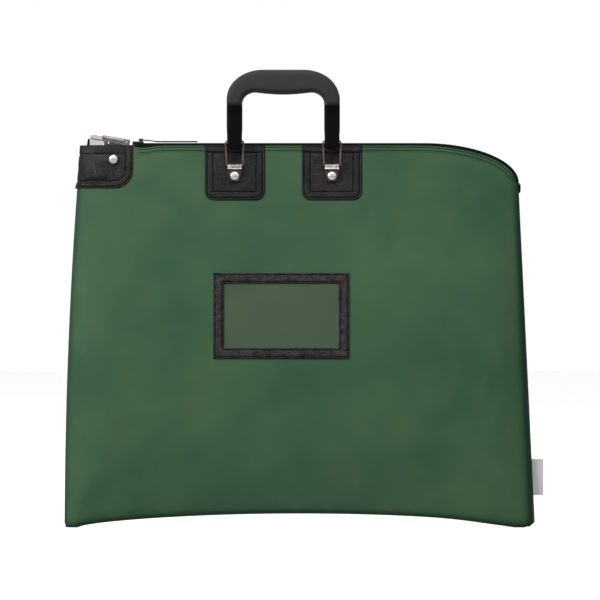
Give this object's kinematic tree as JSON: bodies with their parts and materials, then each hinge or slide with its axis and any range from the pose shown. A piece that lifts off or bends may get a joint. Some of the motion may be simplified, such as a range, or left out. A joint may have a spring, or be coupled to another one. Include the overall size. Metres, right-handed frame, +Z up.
{
  "type": "locking cash deposit bag",
  "caption": "Zipped fabric cash deposit bag standing upright, with a rigid moulded handle on wire rings, a clear card window and a pop-up key lock at the end of the zip.",
  "frame": {"origin": "middle of the footprint, on the surface that the bag's two bottom corners stand on", "axes": "+X along the bag's width towards the closed end of the zip, -Y out of the front with the card window and handle, +Z up towards the handle"},
  "size_m": [0.5184, 0.0609, 0.4947],
  "materials": {
    "bag_fabric": "laminated nylon, satin",
    "black_vinyl": "grained vinyl, satin",
    "grip_plastic": "satin grip, glossy legs",
    "clear_film": "clear flexible film",
    "zip_tape": "woven tape, matt",
    "zip_coil": "nylon coil",
    "chrome": "polished",
    "lock_steel": "satin",
    "nickel_wire": "nickel plated, warm",
    "dark_steel": "black zinc",
    "label_fabric": "woven, matt",
    "stiffener": "plain board"
  },
  "bodies": {
    "root": {"back_panel": "bag_fabric", "bracket_rivet_left": "chrome", "bracket_rivet_right": "chrome", "card_frame": "black_vinyl", "card_window_film": "clear_film", "cover_rivet": "chrome", "cover_rivet_cap": "chrome", "front_panel": "bag_fabric", "handle_patch_left": "black_vinyl", "handle_patch_right": "black_vinyl", "inner_stay_left": "stiffener", "inner_stay_right": "stiffener", "lock_case": "lock_steel", "lock_cover_back": "black_vinyl", "lock_cover_front": "black_vinyl", "lock_hinge_pin": "chrome", "lock_hinge_post": "lock_steel", "lock_spring": "nickel_wire", "ring_bracket_left": "nickel_wire", "ring_bracket_right": "nickel_wire", "rivet_washer_left": "nickel_wire", "rivet_washer_right": "nickel_wire", "side_label": "label_fabric", "zip_end_stop": "dark_steel", "zip_tape_back": "zip_tape", "zip_tape_front": "zip_tape", "zip_teeth_back": "zip_coil", "zip_teeth_front": "zip_coil"},
    "left_ring": {"wire_ring_left": "nickel_wire"},
    "right_ring": {"wire_ring_right": "nickel_wire"},
    "handle": {"handle": "grip_plastic"},
    "slider": {"slider_body": "dark_steel", "slider_lug_front": "dark_steel", "slider_lug_back": "dark_steel", "slider_lock_tongue": "lock_steel"},
    "pull": {"pull_link": "nickel_wire", "pull_tab": "black_vinyl"},
    "lock_head": {"lock_head_bar": "lock_steel", "lock_bolt": "chrome"},
    "key_barrel": {"key_plug": "chrome", "lock_cam": "dark_steel"}
  },
  "joints": [
    {"name": "left_ring_swing", "type": "hinge", "parent": "root", "child": "left_ring", "pos_m": [-0.07525, -0.0139, 0.3905], "axis": [1, 0, 0], "range_deg": [0, 65]},
    {"name": "right_ring_swing", "type": "hinge", "parent": "root", "child": "right_ring", "pos_m": [0.02955, -0.0139, 0.3905], "axis": [1, 0, 0], "range_deg": [0, 65]},
    {"name": "handle_tilt", "type": "hinge", "parent": "left_ring", "child": "handle", "pos_m": [-0.02285, -0.02115, 0.41755], "axis": [1, 0, 0], "range_deg": [-70, 90]},
    {"name": "zip_slide", "type": "slide", "parent": "root", "child": "slider", "axis": [1, 0, 0], "range_m": [0, 0.285]},
    {"name": "zip_pull_flip", "type": "hinge", "parent": "slider", "child": "pull", "pos_m": [-0.1775, 0.0063, 0.4198], "axis": [0, -1, 0], "range_deg": [0, 100]},
    {"name": "lock_head_pop", "type": "hinge", "parent": "root", "child": "lock_head", "pos_m": [-0.1926, 0.0063, 0.4173], "axis": [0, -1, 0], "range_deg": [0, 9.6], "stiffness_Nm_per_rad": 0.5, "springref_deg": -5.73, "deforming": ["lock_spring"]},
    {"name": "key_turn", "type": "hinge", "parent": "lock_head", "child": "key_barrel", "pos_m": [-0.22415, 0.0063, 0.42264], "axis": [0.1668, 0, 0.986], "range_deg": [0, 90]}
  ],
  "couplings": [
    {"joint": "right_ring_swing", "follows": "left_ring_swing", "ratio": 1}
  ]
}
